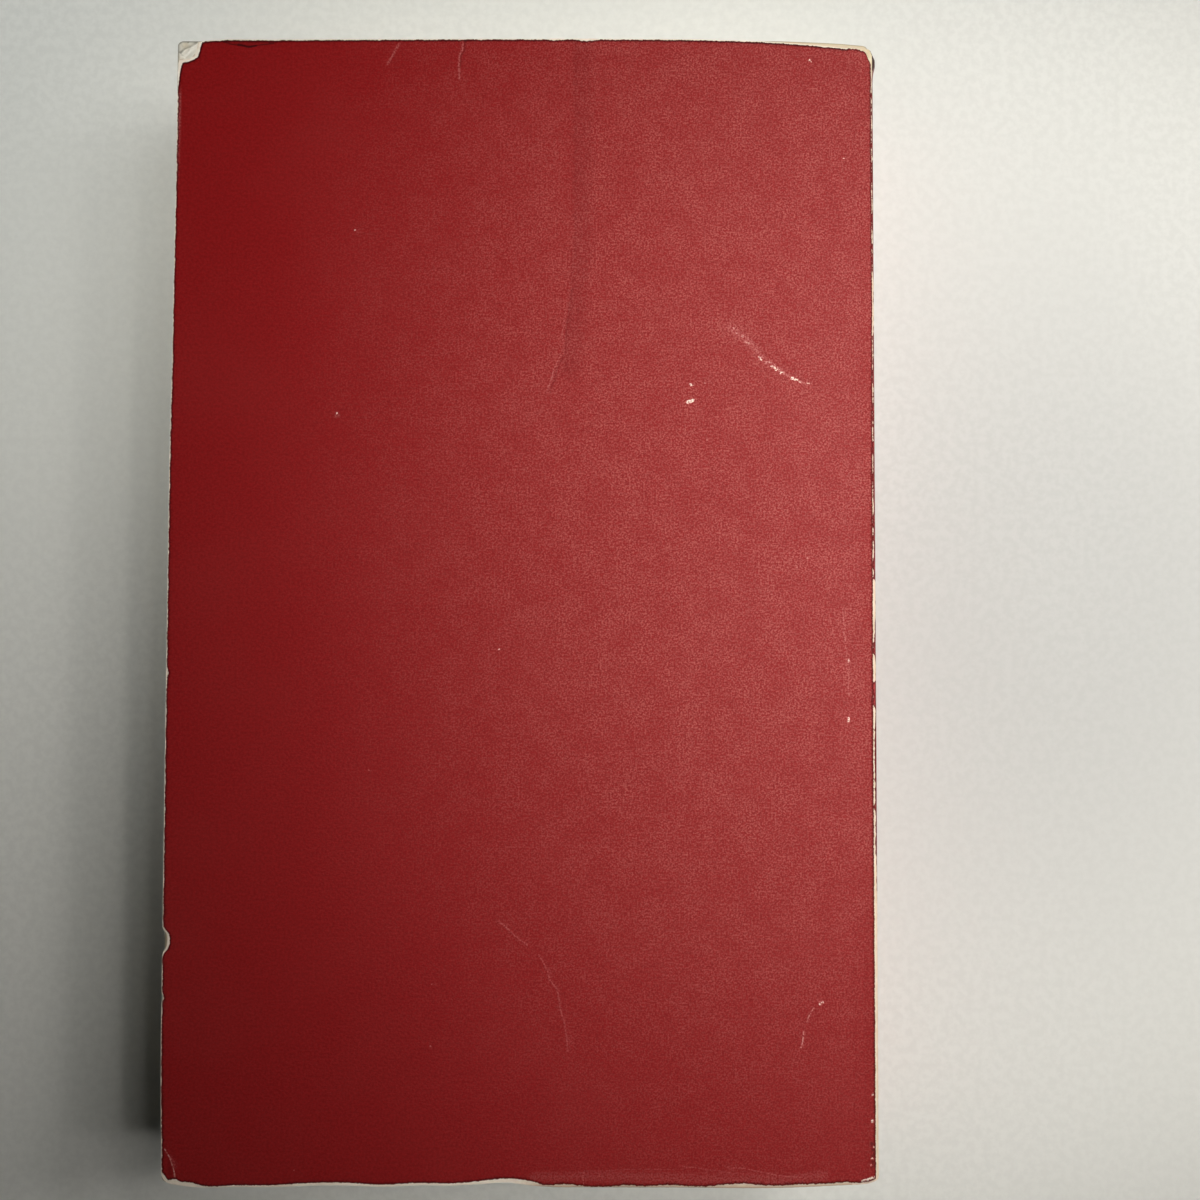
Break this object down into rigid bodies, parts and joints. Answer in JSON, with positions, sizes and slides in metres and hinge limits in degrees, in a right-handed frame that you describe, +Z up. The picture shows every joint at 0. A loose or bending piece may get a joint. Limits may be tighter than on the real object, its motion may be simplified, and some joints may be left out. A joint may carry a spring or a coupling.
{
  "type": "paperback book",
  "caption": "Plain worn mass-market paperback lying flat, with a solid block of leaves, a glued card spine and front and back covers that open at their score lines.",
  "frame": {"origin": "middle of the closed book's footprint, on the surface that it lies on", "axes": "+X towards the spine, +Y towards the head, +Z up out of the back cover"},
  "size_m": [0.11, 0.178, 0.026],
  "materials": {
    "cover_card": "matte red printed card, worn to its cream core at the edges",
    "leaves": "uncoated cream paper, browned at the trimmed edges",
    "glue": "hot-melt adhesive, dull"
  },
  "bodies": {
    "book_block": {"page_block": "leaves", "spine_glue": "glue", "spine_cover": "cover_card"},
    "front_flap": {"front_cover": "cover_card"},
    "back_flap": {"back_cover": "cover_card"}
  },
  "joints": [
    {"name": "front_cover_hinge", "type": "hinge", "parent": "book_block", "child": "front_flap", "pos_m": [0.0504, 0, 0], "axis": [0, -1, 0], "range_deg": [0, 180]},
    {"name": "back_cover_hinge", "type": "hinge", "parent": "book_block", "child": "back_flap", "pos_m": [0.0504, 0, 0.026], "axis": [0, 1, 0], "range_deg": [0, 180]}
  ]
}
